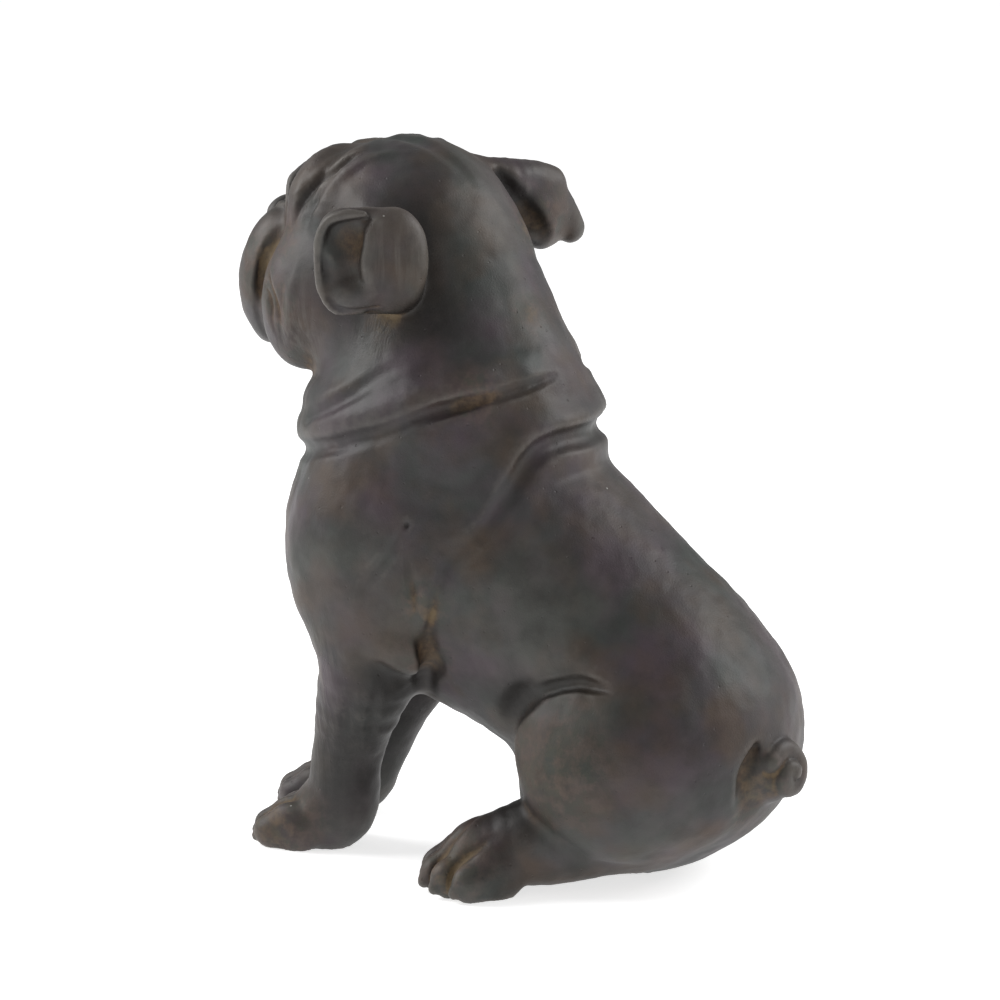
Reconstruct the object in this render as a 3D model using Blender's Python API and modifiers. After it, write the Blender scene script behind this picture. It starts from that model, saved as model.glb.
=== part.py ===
"""A sitting bulldog puppy, one casting that stands on its paws and seat.

The puppy faces -Y, its left side is +X and the floor is Z = 0.
"""

import math

import bmesh
import bpy
import numpy as np
from mathutils import Euler, Matrix, Vector

HEIGHT = 0.42  # floor to the top of the head
STONE_COLOUR = (0.085, 0.078, 0.076, 1)
STONE_ROUGHNESS = 0.62

# The figure is drawn in units of its own, in which the top of its head is at this height.
CROWN = 0.981

# The pose, in those units and in degrees.
HEAD_CENTRE = Vector((-0.04, -0.225, 0.823))
HEAD_TURN = Euler((math.radians(-4), math.radians(4), math.radians(-17)))
STRIDE = 0.052  # the right front paw stands this far ahead of the left one
HIND_SPLAY = 48
EAR_TURN = 50
EAR_PLACE = Vector((0.168, 0.117, 0.032))
TAIL_TURN = 450

# How the clay is worked out and turned into facets.
TAIL_STEPS = 14
BLOCK_PITCH = 0.6  # of a radius, between the balls that rough out a roll
BLOCK_VOXEL = 0.012  # of the height
SKIN_VOXEL = 0.007  # of the height
NEAR = 0.04  # a lump is worked out only this far beyond its own size
DROP_STEPS = 5
SETTLE_ROUNDS = 5
LONGEST_STEP = 0.004
SLOPE_STEP = 0.0015
FACETS = 9400
SOLE_SLACK = 0.0007  # whatever is this near the floor is ground flat


def turned(x=0, y=0, z=0):
    """A rotation from three angles in degrees."""
    return Euler((math.radians(x), math.radians(y), math.radians(z))).to_matrix()


def softly_joined(one, other, soft):
    """The smaller of two distances, rounded over where they differ by less than soft."""
    share = np.clip(0.5 + 0.5 * (other - one) / soft, 0, 1)
    return other + (one - other) * share - soft * share * (1 - share)


class Ball:
    """An ellipsoid of clay: where it sits, its three radii and its rotation."""

    def __init__(self, centre, radii, turn=None, soft=0.03, cut=False):
        self.centre = Vector(centre)
        self.radii = Vector(radii)
        self.turn = turn or Matrix.Identity(3)
        self.soft = soft
        self.cut = cut

    def moved(self, place, turn):
        return Ball(place + turn @ self.centre, self.radii, turn @ self.turn, self.soft, self.cut)

    def sized(self, unit):
        return Ball(self.centre * unit, self.radii * unit, self.turn, self.soft * unit, self.cut)

    def reach(self):
        size = max(self.radii)
        low = np.array(self.centre) - size
        return low, low + 2 * size

    def distance(self, points):
        local = (points - np.array(self.centre)) @ np.array(self.turn)
        scaled = local / np.array(self.radii)
        near = np.linalg.norm(scaled, axis=1)
        steep = np.linalg.norm(scaled / np.array(self.radii), axis=1)
        return near * (near - 1) / np.maximum(steep, 1e-9)

    def blocks(self):
        scale = Matrix.Diagonal(self.radii)
        return [Matrix.Translation(self.centre) @ (self.turn @ scale).to_4x4()]


class Roll:
    """A sausage of clay along a smooth line through its points, with a radius at each point."""

    STEPS = 4

    def __init__(self, points, radii, soft=0.02, cut=False):
        self.points = [Vector(p) for p in points]
        self.radii = list(radii)
        self.soft = soft
        self.cut = cut
        self.line = self.smooth_line()

    def moved(self, place, turn):
        return Roll([place + turn @ p for p in self.points], self.radii, self.soft, self.cut)

    def sized(self, unit):
        points = [p * unit for p in self.points]
        return Roll(points, [r * unit for r in self.radii], self.soft * unit, self.cut)

    def smooth_line(self):
        """The points and radii of the smooth line, close enough together to bend well."""
        knots = np.array([[*p, r] for p, r in zip(self.points, self.radii)])
        if len(knots) == 2:
            return knots
        ends = np.vstack([2 * knots[0] - knots[1], knots, 2 * knots[-1] - knots[-2]])
        found = []
        for a, b, c, d in zip(ends, ends[1:], ends[2:], ends[3:]):
            for t in np.linspace(0, 1, self.STEPS, endpoint=False):
                bend = (2 * a - 5 * b + 4 * c - d) * t**2 + (3 * b - a - 3 * c + d) * t**3
                found.append(0.5 * (2 * b + (c - a) * t + bend))
        return np.vstack([found, knots[-1:]])

    def reach(self):
        return (self.line[:, :3] - self.line[:, 3:]).min(0), (self.line[:, :3] + self.line[:, 3:]).max(0)

    def distance(self, points):
        best = np.full(len(points), 9.0)
        for start, end in zip(self.line, self.line[1:]):
            run = end[:3] - start[:3]
            along = np.clip((points - start[:3]) @ run / max(run @ run, 1e-12), 0, 1)
            spine = start[:3] + along[:, None] * run
            width = start[3] + along * (end[3] - start[3])
            best = np.minimum(best, np.linalg.norm(points - spine, axis=1) - width)
        return best

    def blocks(self):
        """Balls along the line, near enough to one another to join."""
        places = []
        for start, end in zip(self.line, self.line[1:]):
            count = max(1, math.ceil(np.linalg.norm(end - start) / start[3] / BLOCK_PITCH))
            places += [start + (end - start) * step / count for step in range(count)]
        return [Matrix.Translation(p[:3]) @ Matrix.Scale(p[3], 4) for p in places + [self.line[-1]]]


def mirrored(lump):
    """The same lump on the right side."""
    flip = Matrix.Diagonal((-1, 1, 1))
    if isinstance(lump, Ball):
        return Ball(flip @ lump.centre, lump.radii, flip @ lump.turn @ flip, lump.soft, lump.cut)
    return Roll([flip @ p for p in lump.points], lump.radii, lump.soft, lump.cut)


def dropped(points, lumps, above=0.0):
    """The points moved onto the lumps, or this far above them, so that a fold follows the body."""
    placed = np.array([list(p) for p in points], float)
    for _ in range(DROP_STEPS):
        gap = clay(placed, lumps) - above
        placed -= gap[:, None] * slope(placed, lumps)
    return [Vector(p) for p in placed]


def slope(points, lumps):
    """The direction in which the distance grows fastest."""
    steps = []
    for axis in np.eye(3) * SLOPE_STEP:
        steps.append(clay(points + axis, lumps) - clay(points - axis, lumps))
    way = np.stack(steps, axis=1)
    return way / np.maximum(np.linalg.norm(way, axis=1, keepdims=True), 1e-9)


def faded(wide, count):
    """A radius for each of the points of a line, the smallest at its two ends."""
    return [wide * (1 - 0.6 * abs(2 * step / (count - 1) - 1) ** 3) for step in range(count)]


def groove(lumps, points, deep, wide=0.012, soft=0.008):
    """A furrow pressed into the lumps along a line of points."""
    radii = np.array(faded(wide, len(points)))
    heights = radii * (1 - deep / wide) + soft * (1 - radii / wide)
    return Roll(dropped(points, lumps, heights), radii, soft, cut=True)


def ridge(lumps, points, proud, wide=0.02, soft=0.02):
    """A fold of skin raised from the lumps along a line of points."""
    radii = np.array(faded(wide, len(points)))
    heights = radii * (proud / wide - 1) - soft * (1 - radii / wide)
    return Roll(dropped(points, lumps, heights), radii, soft)


def both_sides(points):
    """A line that runs from the left side over the middle to the right side."""
    return points + [(-x, y, z) for x, y, z in reversed(points)]


def paw(place, heading, size=1.0):
    """Four toes fanned out at the front of a foot."""
    toes = []
    for across, ahead in ((-0.042, 0), (-0.015, 0.014), (0.015, 0.014), (0.042, 0)):
        toes.append(Ball((across, 0.014 - ahead, 0.03), (0.022, 0.04, 0.036), soft=0.011))
        toes.append(Ball((across * 1.05, -0.02 - ahead, 0.022), (0.02, 0.026, 0.024), soft=0.01))
    return [toe.sized(size).moved(Vector(place), turned(z=heading)) for toe in toes]


def torso():
    return [
        Roll([(0, -0.095, 0.465), (0, 0.14, 0.28)], [0.2, 0.178], soft=0.05),
        Ball((0, 0.212, 0.197), (0.21, 0.18, 0.178), soft=0.05),
        Ball((0, 0.15, 0.11), (0.16, 0.145, 0.116), soft=0.04),
        Ball((0, -0.155, 0.43), (0.19, 0.194, 0.2), soft=0.05),
        Ball((0, -0.12, 0.60), (0.185, 0.198, 0.13), soft=0.05),
        Roll([(0, -0.095, 0.62), (-0.03, -0.151, 0.78)], [0.174, 0.144], soft=0.05),
        Ball((0, 0.04, 0.29), (0.15, 0.12, 0.11), soft=0.05),
        Ball((0, -0.06, 0.31), (0.13, 0.12, 0.11), soft=0.04),
    ]


def foreleg(ahead):
    return [
        Ball((0.135, -0.165, 0.43), (0.085, 0.12, 0.16), turned(x=-8), soft=0.04),
        Roll([(0.13, -0.16, 0.36), (0.122, -0.182 - ahead * 0.2, 0.27), (0.1, -0.222 - ahead * 0.5, 0.16),
              (0.092, -0.238 - ahead, 0.07)], [0.078, 0.069, 0.051, 0.05], soft=0.03),
        Ball((0.16, -0.115, 0.318), (0.046, 0.054, 0.04), turned(x=-20), soft=0.016),
        Ball((0.09, -0.26 - ahead, 0.042), (0.054, 0.056, 0.05), soft=0.02),
    ] + paw((0.09, -0.308 - ahead, 0), 0)


def hind_leg():
    return [
        Ball((0.135, 0.2, 0.17), (0.095, 0.14, 0.12), turned(z=25), soft=0.04),
        Roll([(0.09, 0.19, 0.075), (0.155, 0.098, 0.068),
              (0.187, 0.03, 0.053)], [0.056, 0.062, 0.044], soft=0.015),
        Ball((0.193, 0.018, 0.045), (0.053, 0.052, 0.049), turned(z=HIND_SPLAY), soft=0.015),
        Ball((0.155, 0.162, 0.168), (0.078, 0.09, 0.13), turned(x=37), soft=0.006),
    ] + paw((0.205, 0.01, 0), HIND_SPLAY, 1.1)


def tail():
    """A short tail curled into a button."""
    root, tip = Vector((0.024, 0.335, 0.158)), Vector((0.04, 0.394, 0.164))
    along = (tip - root).normalized()
    across = along.cross(Vector((0, 0, 1))).normalized()
    up = across.cross(along)
    coil, radii = [], []
    for step in range(TAIL_STEPS + 1):
        share = step / TAIL_STEPS
        angle, out = math.radians(40 + TAIL_TURN * share), 0.029 * (1 - share) + 0.004
        rise = 0.016 * share - 0.006
        coil.append(tip + across * out * math.cos(angle) + up * out * math.sin(angle) + along * rise)
        radii.append(0.0185 - 0.005 * share)
    hollow = []
    for angle in np.linspace(-1.6, 0.7, 7):
        hollow.append(tip - along * 0.011 + across * 0.067 * math.cos(angle) + up * 0.067 * math.sin(angle))
    return [
        Roll(hollow, faded(0.018, len(hollow)), soft=0.016, cut=True),
        Roll([root, tip - along * 0.03], [0.047, 0.043], soft=0.006),
        Roll(coil, radii, soft=0.0035),
    ]


def left_ear():
    """Folded forward into a shallow cup, in its own frame: x towards the front, y outwards, z up."""
    lumps = [
        Ball((0.006, -0.016, 0.004), (0.056, 0.034, 0.06), soft=0.012),
        Ball((0, -0.004, 0), (0.07, 0.024, 0.074), soft=0.01),
        Ball((0.032, -0.002, 0.034), (0.038, 0.022, 0.038), soft=0.008),
        Ball((-0.026, -0.003, 0.032), (0.036, 0.02, 0.034), soft=0.01),
        Ball((0.028, -0.002, -0.036), (0.038, 0.022, 0.034), soft=0.008),
        Ball((-0.026, -0.002, -0.03), (0.038, 0.022, 0.034), soft=0.008),
        Ball((-0.034, 0.0, 0.002), (0.044, 0.03, 0.07), soft=0.016),
        Ball((0.033, 0.028, 0.036), (0.032, 0.024, 0.03), soft=0.01, cut=True),
        Roll([(0.034, 0.029, 0.03), (0.025, 0.03, -0.022)], [0.024, 0.015], soft=0.01, cut=True),
        Roll([(-0.01, 0.016, 0.056), (-0.002, 0.025, 0.03), (0.0, 0.028, 0.0), (-0.006, 0.023, -0.034)],
             [0.006, 0.008, 0.008, 0.007], soft=0.014),
        Ball((0.015, 0.01, -0.044), (0.036, 0.019, 0.022), soft=0.01),
        Roll([(0.005, 0.014, 0.068), (0.03, 0.014, 0.067), (0.055, 0.012, 0.056), (0.066, 0.01, 0.03),
              (0.067, 0.01, -0.01), (0.06, 0.011, -0.045), (0.043, 0.012, -0.064), (0.01, 0.01, -0.066)],
             [0.004, 0.007, 0.007, 0.007, 0.007, 0.007, 0.007, 0.005], soft=0.006),
    ]
    placed = [lump.moved(EAR_PLACE, turned(z=-EAR_TURN)) for lump in lumps]
    return [Roll([(0.10, 0.08, 0.05), (0.145, 0.11, 0.05)], [0.045, 0.035], soft=0.025)] + placed


def right_ear():
    """Held out sideways with its tip dropped."""
    return [
        Roll([(-0.10, 0.08, 0.082), (-0.16, 0.105, 0.085),
              (-0.2, 0.115, 0.075)], [0.04, 0.028, 0.026], soft=0.02),
        Ball((-0.14, 0.095, 0.04), (0.05, 0.03, 0.05), soft=0.02),
        Ball((-0.19, 0.117, 0.035), (0.052, 0.028, 0.052), turned(z=8, y=-15), soft=0.012),
        Roll([(-0.195, 0.115, 0.055), (-0.218, 0.122, 0.035),
              (-0.236, 0.128, 0.006)], [0.026, 0.023, 0.02], soft=0.012),
        Roll([(-0.098, 0.116, 0.1), (-0.113, 0.127, 0.07), (-0.136, 0.134, 0.04),
              (-0.16, 0.144, 0.012)], [0.013, 0.02, 0.02, 0.014], soft=0.012, cut=True),
    ]


def face():
    """The left half of the face, with the folds that start at the middle."""
    return [
        Ball((0.085, -0.02, -0.05), (0.08, 0.11, 0.1), soft=0.04),
        Ball((0.068, -0.13, -0.05), (0.062, 0.07, 0.1), turned(y=-8), soft=0.012),
        Ball((0.112, -0.06, -0.075), (0.05, 0.06, 0.085), soft=0.012),
    ]


def eye(form):
    """The left eye, set into the face between its lids."""
    place = [(0.062, -0.15, 0.078)]
    socket, ball = dropped(place, form, 0.004)[0], dropped(place, form, -0.019)[0]
    upper = [(0.036, -0.15, 0.071), (0.047, -0.15, 0.093), (0.073, -0.145, 0.096), (0.096, -0.125, 0.076)]
    lower = [(0.038, -0.15, 0.066), (0.062, -0.152, 0.058), (0.09, -0.135, 0.064)]
    return [
        Ball(socket, (0.026, 0.018, 0.019), soft=0.006, cut=True),
        Ball(ball, (0.0185, 0.0185, 0.0185), soft=0.002),
        ridge(form, upper, 0.005, 0.008, 0.006),
        ridge(form, lower, 0.004, 0.006, 0.005),
    ]


def head():
    middle = [
        Ball((0, 0.04, 0.039), (0.135, 0.14, 0.122), soft=0.04),
        Ball((0, -0.058, 0.05), (0.11, 0.085, 0.088), soft=0.03),
        Ball((0, -0.12, -0.05), (0.085, 0.075, 0.075), soft=0.02),
        Ball((0, -0.125, -0.13), (0.062, 0.06, 0.038), soft=0.012),
    ]
    form = middle + face() + [mirrored(lump) for lump in face()]
    pair = [
        ridge(form, [(0.012, -0.07, 0.13), (0.06, -0.07, 0.115), (0.1, -0.067, 0.083),
                     (0.12, -0.053, 0.04)], 0.01),
        ridge(form, [(0.015, 0.0, 0.15), (0.075, -0.005, 0.129), (0.115, -0.015, 0.085),
                     (0.135, -0.01, 0.04)], 0.008),
        ridge(form, [(0.014, -0.11, 0.108), (0.06, -0.11, 0.102), (0.1, -0.095, 0.075),
                     (0.118, -0.085, 0.035)], 0.005),
        groove(form, [(0.13, -0.06, 0.05), (0.105, -0.05, 0.095), (0.096, -0.015, 0.126),
                      (0.07, 0.01, 0.146)], 0.004, 0.01),
        groove(form, [(0.12, -0.1, 0.03), (0.1, -0.1, 0.074), (0.06, -0.1, 0.1),
                      (0.02, -0.1, 0.11)], 0.004, 0.01),
        groove(form, [(0.1, -0.1, 0.06), (0.11, -0.112, 0.01), (0.121, -0.12, -0.02), (0.132, -0.12, -0.07),
                      (0.119, -0.12, -0.125)], 0.009, 0.011, 0.01),
        groove(form, [(0.138, -0.09, -0.02), (0.16, -0.062, -0.069), (0.155, -0.055, -0.111)], 0.005, 0.01),
        groove(form, [(0.0, -0.19, -0.1), (0.035, -0.18, -0.115), (0.075, -0.16, -0.14),
                      (0.1, -0.12, -0.15)], 0.012),
    ]
    pair += [mirrored(lump) for lump in pair]
    centre = [
        Ball((0, -0.158, 0.008), (0.066, 0.034, 0.036), soft=0.014),
        Ball((0, -0.188, 0.018), (0.042, 0.022, 0.028), soft=0.006),
        Ball((0.018, -0.212, 0.014), (0.009, 0.014, 0.007), turned(y=-25), soft=0.004, cut=True),
        Ball((-0.018, -0.212, 0.014), (0.009, 0.014, 0.007), turned(y=25), soft=0.004, cut=True),
        Roll([(-0.08, -0.132, 0.012), (-0.045, -0.15, 0.033), (0, -0.157, 0.043), (0.045, -0.15, 0.033),
              (0.08, -0.132, 0.012)], [0.01, 0.014, 0.016, 0.014, 0.01], soft=0.012),
        groove(form, [(0, -0.14, 0.06), (0, -0.12, 0.09), (0, -0.08, 0.12), (0, 0.0, 0.15), (0, 0.08, 0.15),
                      (0, 0.13, 0.1)], 0.005, 0.016, 0.012),
        groove(form, [(0, -0.2, -0.01), (0, -0.2, -0.04), (0, -0.195, -0.07),
                      (0, -0.19, -0.1)], 0.006, 0.009, 0.006),
    ]
    left = eye(form + pair + centre)
    eyes = left + [mirrored(lump) for lump in left]
    lumps = form + pair + centre + eyes + left_ear() + right_ear()
    return [lump.moved(HEAD_CENTRE, HEAD_TURN.to_matrix()) for lump in lumps]


def body_folds(form):
    """The loose skin of the neck and shoulders, which runs round the body."""
    neck = [(0.052, 0.062, 0.68), (0.075, 0.054, 0.676), (0.1, 0.036, 0.668), (0.137, 0.003, 0.658),
            (0.178, -0.068, 0.636), (0.187, -0.11, 0.616), (0.178, -0.184, 0.59), (0.133, -0.264, 0.567),
            (0.08, -0.31, 0.555), (0.02, -0.335, 0.55)]
    collar = [(0.056, 0.048, 0.712), (0.085, 0.034, 0.704), (0.11, 0.018, 0.7), (0.14, -0.006, 0.692),
              (0.17, -0.05, 0.672), (0.187, -0.107, 0.65), (0.178, -0.18, 0.622), (0.135, -0.25, 0.595),
              (0.08, -0.29, 0.588), (0.02, -0.315, 0.583)]
    throat = [(0.178, -0.14, 0.69), (0.172, -0.18, 0.667), (0.14, -0.235, 0.64), (0.08, -0.275, 0.63),
              (0.02, -0.292, 0.625)]
    crease = [(0.183, -0.12, 0.71), (0.182, -0.15, 0.69), (0.177, -0.19, 0.66), (0.16, -0.225, 0.635),
              (0.13, -0.26, 0.61)]
    withers = [(0.19, -0.03, 0.43), (0.183, -0.012, 0.452), (0.18, 0.013, 0.496), (0.163, 0.027, 0.535),
               (0.146, 0.041, 0.573), (0.125, 0.061, 0.602), (0.098, 0.079, 0.619), (0.04, 0.097, 0.616)]
    second = [(0.145, 0.055, 0.522), (0.12, 0.066, 0.55), (0.094, 0.08, 0.571), (0.056, 0.097, 0.579),
              (0.02, 0.103, 0.579)]
    between = [(0.182, 0.014, 0.483), (0.157, 0.032, 0.521), (0.132, 0.046, 0.555), (0.116, 0.057, 0.58),
               (0.084, 0.075, 0.596), (0.027, 0.092, 0.597)]
    creases = []
    for side in (1, -1):
        creases.append(groove(form, [(side * x, y, z) for x, y, z in crease], 0.004, 0.012, 0.012))
        creases.append(groove(form, [(side * x, y, z) for x, y, z in neck[:6]], 0.007, 0.008, 0.006))
    return [
        ridge(form, both_sides(withers), 0.008, 0.026, 0.022),
        ridge(form, both_sides(second), 0.008, 0.022, 0.018),
        ridge(form, both_sides(throat), 0.003, 0.022, 0.016),
        ridge(form, both_sides(collar), 0.007, 0.023, 0.018),
        groove(form, both_sides(between), 0.007, 0.014, 0.014),
        groove(form, both_sides(neck), 0.006, 0.011, 0.01),
    ] + creases


def side_folds(form):
    """The creases of the left elbow and haunch."""
    pocket = [(0.1, -0.1, 0.235), (0.14, -0.09, 0.268), (0.163, -0.08, 0.3), (0.182, -0.073, 0.345)]
    elbow = [(0.15, -0.085, 0.29), (0.175, -0.075, 0.322), (0.191, -0.062, 0.375), (0.197, -0.05, 0.41)]
    shoulder = [(0.197, -0.05, 0.41), (0.199, -0.038, 0.428), (0.194, -0.018, 0.455), (0.182, 0.012, 0.487)]
    under = [(0.207, -0.165, 0.262), (0.193, -0.138, 0.284), (0.176, -0.122, 0.275), (0.15, -0.105, 0.268)]
    flap = [(0.176, -0.083, 0.34), (0.19, -0.068, 0.37), (0.196, -0.056, 0.41), (0.2, -0.04, 0.45)]
    haunch = [(0.168, 0.062, 0.24), (0.18, 0.09, 0.272), (0.19, 0.121, 0.29), (0.195, 0.156, 0.301),
              (0.2, 0.185, 0.301), (0.2, 0.205, 0.297)]
    hollow = [(0.16, 0.04, 0.22), (0.168, 0.058, 0.248), (0.176, 0.08, 0.27), (0.183, 0.1, 0.285)]
    flank = [(0.15, 0.09, 0.32), (0.18, 0.14, 0.335), (0.19, 0.19, 0.332), (0.19, 0.24, 0.312)]
    return [
        groove(form, pocket, 0.014, 0.015, 0.01),
        groove(form, elbow, 0.008, 0.01, 0.012),
        groove(form, shoulder, 0.004, 0.014, 0.016),
        groove(form, under, 0.004, 0.014, 0.018),
        ridge(form, flap, 0.004, 0.011, 0.01),
        ridge(form, flank, 0.004, 0.02, 0.02),
        groove(form, hollow, 0.011, 0.018, 0.016),
        groove(form, haunch, 0.01, 0.01, 0.006),
    ]


def all_lumps():
    left = foreleg(0) + hind_leg()
    right = [mirrored(lump) for lump in foreleg(STRIDE) + hind_leg()]
    form = torso() + left + right
    sides = side_folds(form)
    whole = form + tail() + head()
    return whole + body_folds(whole) + sides + [mirrored(lump) for lump in sides]


def clay(points, lumps):
    """The distance of each point from the surface of all the lumps worked into one."""
    found = np.full(len(points), 1.0)
    for lump in lumps:
        low, high = lump.reach()
        margin = NEAR + lump.soft
        close = np.all((points > low - margin) & (points < high + margin), axis=1)
        if not close.any():
            continue
        near = points[close]
        if lump.cut:
            found[close] = -softly_joined(-found[close], lump.distance(near), lump.soft)
        else:
            found[close] = softly_joined(found[close], lump.distance(near), lump.soft)
    return found


def standing(points, lumps):
    """The clay with everything below the floor sliced off."""
    return np.maximum(clay(points, lumps), -points[:, 2])


def settled(mesh, lumps, rounds):
    """Moves the corners of a mesh onto the surface of the clay."""
    points = np.empty(len(mesh.vertices) * 3)
    mesh.vertices.foreach_get("co", points)
    points = points.reshape(-1, 3)
    for _ in range(rounds):
        gap = standing(points, lumps)
        way = np.stack([standing(points + axis, lumps) - gap for axis in np.eye(3) * SLOPE_STEP], axis=1)
        way /= np.maximum(np.linalg.norm(way, axis=1, keepdims=True), 1e-9)
        points -= np.clip(gap, -LONGEST_STEP, LONGEST_STEP)[:, None] * way
    mesh.vertices.foreach_set("co", points.ravel())
    mesh.update()


def reworked(mesh, kind, **settings):
    """The mesh after one modifier."""
    holder = bpy.data.objects.new("holder", mesh)
    bpy.context.scene.collection.objects.link(holder)
    modifier = holder.modifiers.new(kind.title(), kind)
    for name, value in settings.items():
        setattr(modifier, name, value)
    result = bpy.data.meshes.new_from_object(holder.evaluated_get(bpy.context.evaluated_depsgraph_get()))
    bpy.data.objects.remove(holder)
    return result


def roughed_out(lumps):
    """Balls for every lump, in one mesh."""
    bm = bmesh.new()
    for lump in lumps:
        if not lump.cut:
            for place in lump.blocks():
                bmesh.ops.create_icosphere(bm, subdivisions=2, radius=1, matrix=place)
    mesh = bpy.data.meshes.new("blocks")
    bm.to_mesh(mesh)
    bm.free()
    return mesh


def statue():
    """The whole figure as one mesh, its bounding box centred over the origin."""
    lumps = [lump.sized(HEIGHT / CROWN) for lump in all_lumps()]
    mesh = roughed_out(lumps)
    for voxel in (BLOCK_VOXEL, SKIN_VOXEL):
        mesh = reworked(mesh, "REMESH", mode="VOXEL", voxel_size=voxel * HEIGHT)
        settled(mesh, lumps, SETTLE_ROUNDS)
    mesh = reworked(mesh, "DECIMATE", ratio=FACETS / (2 * len(mesh.polygons)))
    for vertex in mesh.vertices:
        if vertex.co.z < SOLE_SLACK:
            vertex.co.z = 0
    corners = np.array([vertex.co for vertex in mesh.vertices])
    low, high = corners.min(0), corners.max(0)
    mesh.transform(Matrix.Translation((-(low[0] + high[0]) / 2, -(low[1] + high[1]) / 2, 0)))
    return mesh


def main():
    for old in list(bpy.data.objects):
        bpy.data.objects.remove(old)
    mesh = statue()
    mesh.name = "bulldog"
    mesh.shade_smooth()
    material = bpy.data.materials.new("cast_stone")
    material.use_nodes = True
    shader = material.node_tree.nodes["Principled BSDF"]
    shader.inputs["Base Color"].default_value = STONE_COLOUR
    shader.inputs["Roughness"].default_value = STONE_ROUGHNESS
    mesh.materials.clear()
    mesh.materials.append(material)
    group = bpy.data.collections.new("bulldog")
    bpy.context.scene.collection.children.link(group)
    group.objects.link(bpy.data.objects.new("bulldog", mesh))


if __name__ == "__main__":
    main()
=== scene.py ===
# %% [markdown]
# # A sitting bulldog puppy in cast stone
#
# The real object is one casting: dark stone, modelled once in clay by a sculptor and poured in a mould. It
# is about as tall as a live puppy. The frame that this script loads holds its true size, its stance and the
# forms that show from a step away. The script models the same puppy again as a much finer skin, with the
# creases, toes and hair strokes that a hand feels, and then gives it the patina of a piece that has stood
# outside.

# %% Load the frame
import math

import bpy
import numpy as np
from mathutils import Euler, Matrix, Vector


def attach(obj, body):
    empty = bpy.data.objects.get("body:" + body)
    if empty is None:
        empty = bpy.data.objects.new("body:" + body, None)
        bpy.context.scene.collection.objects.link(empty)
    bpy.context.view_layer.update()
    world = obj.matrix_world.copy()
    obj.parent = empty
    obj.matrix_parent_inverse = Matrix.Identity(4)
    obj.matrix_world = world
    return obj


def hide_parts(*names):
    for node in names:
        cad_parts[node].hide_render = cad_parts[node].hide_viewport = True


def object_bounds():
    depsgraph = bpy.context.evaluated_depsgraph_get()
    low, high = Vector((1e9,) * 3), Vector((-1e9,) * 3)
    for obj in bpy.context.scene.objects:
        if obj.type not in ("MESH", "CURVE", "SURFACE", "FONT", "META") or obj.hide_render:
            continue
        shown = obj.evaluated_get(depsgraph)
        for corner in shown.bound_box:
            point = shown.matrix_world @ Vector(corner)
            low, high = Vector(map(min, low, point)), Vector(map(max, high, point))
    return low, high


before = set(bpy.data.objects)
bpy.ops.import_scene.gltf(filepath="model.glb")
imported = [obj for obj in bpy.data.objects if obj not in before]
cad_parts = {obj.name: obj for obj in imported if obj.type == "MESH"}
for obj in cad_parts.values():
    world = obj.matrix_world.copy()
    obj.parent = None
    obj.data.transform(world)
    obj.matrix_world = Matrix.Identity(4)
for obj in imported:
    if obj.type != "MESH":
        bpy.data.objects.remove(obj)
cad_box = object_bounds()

print("the casting fills", [round(b - a, 4) for a, b in zip(*cad_box)], "m")

# %% [markdown]
# ## Clay that joins softly
#
# A sculptor builds a figure from lumps: a ball for the chest, a roll for a leg, a thinner roll for a fold.
# Thumbs press the joints smooth. In Blender the same could be done with sculpt brushes, which can't be
# written down, or with metaballs, which give no grooves. Here each lump is a small class that knows how far
# any point is from its surface, and two lumps are joined by taking the smaller distance, rounded over where
# the two are nearly equal. A lump marked as a cut is pressed in instead of added.

# %% Ball, roll and the soft join
FAR = 9.0  # farther than any point is from a lump
TINY = 1e-9


def softly_joined(one, other, soft):
    """The smaller of two distances, rounded over where they differ by less than soft."""
    share = np.clip(0.5 + 0.5 * (other - one) / soft, 0, 1)
    return other + (one - other) * share - soft * share * (1 - share)


class Ball:
    """An ellipsoid of clay: where it sits, its three radii and its rotation."""

    def __init__(self, centre, radii, turn=None, soft=0.03, cut=False):
        self.centre = Vector(centre)
        self.radii = Vector(radii)
        self.turn = turn or Matrix.Identity(3)
        self.soft = soft
        self.cut = cut

    def moved(self, place, turn):
        return Ball(place + turn @ self.centre, self.radii, turn @ self.turn, self.soft, self.cut)

    def sized(self, unit):
        return Ball(self.centre * unit, self.radii * unit, self.turn, self.soft * unit, self.cut)

    def reach(self):
        size = max(self.radii)
        low = np.array(self.centre) - size
        return low, low + 2 * size

    def distance(self, points):
        local = (points - np.array(self.centre)) @ np.array(self.turn)
        scaled = local / np.array(self.radii)
        near = np.linalg.norm(scaled, axis=1)
        steep = np.linalg.norm(scaled / np.array(self.radii), axis=1)
        return near * (near - 1) / np.maximum(steep, TINY)


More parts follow.
